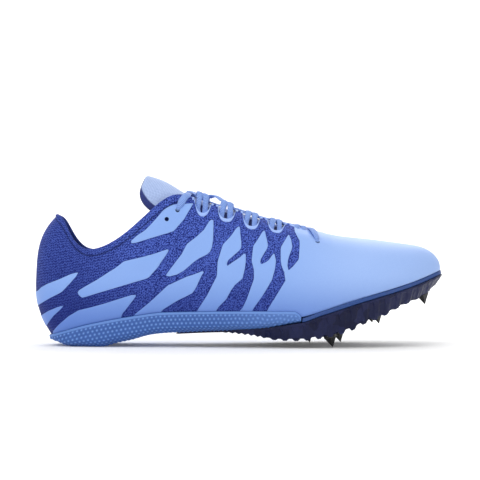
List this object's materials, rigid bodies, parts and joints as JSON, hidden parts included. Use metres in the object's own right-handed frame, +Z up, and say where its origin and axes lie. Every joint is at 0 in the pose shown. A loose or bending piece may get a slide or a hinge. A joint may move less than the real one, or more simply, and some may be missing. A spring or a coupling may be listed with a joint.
{
  "type": "track spike shoe",
  "caption": "Low sprint shoe with a mesh upper, tongue, crossed laces, foam heel wedge and a stiff ribbed forefoot plate with steel pins.",
  "frame": {"origin": "on the floor under the middle of the shoe's box", "axes": "+X to the toe, +Y to the inner side of the right foot, +Z up"},
  "size_m": [0.2848, 0.0962, 0.1177],
  "materials": {
    "upper_mesh": "fine knitted mesh with smooth film panels",
    "wedge_foam": "pimpled moulded foam, satin",
    "band_foam": "smooth moulded foam, satin",
    "plate": "stiff moulded nylon, semi-gloss",
    "pin_steel": "darkened steel",
    "insole_cloth": "brushed cloth",
    "tongue_cloth": "woven cloth with a knitted lining",
    "lace_cloth": "flat woven lace"
  },
  "bodies": {
    "root": {"upper": "upper_mesh", "heel_wedge": "wedge_foam", "forefoot_band": "band_foam", "spike_plate": "plate", "spike_1": "pin_steel", "spike_2": "pin_steel", "spike_3": "pin_steel", "spike_4": "pin_steel", "spike_5": "pin_steel", "spike_6": "pin_steel", "spike_7": "pin_steel", "insole": "insole_cloth", "tongue": "tongue_cloth", "lace_crossing_1": "lace_cloth", "lace_crossing_2": "lace_cloth", "lace_crossing_3": "lace_cloth", "lace_crossing_4": "lace_cloth", "lace_crossing_5": "lace_cloth", "lace_crossing_6": "lace_cloth"}
  },
  "joints": []
}
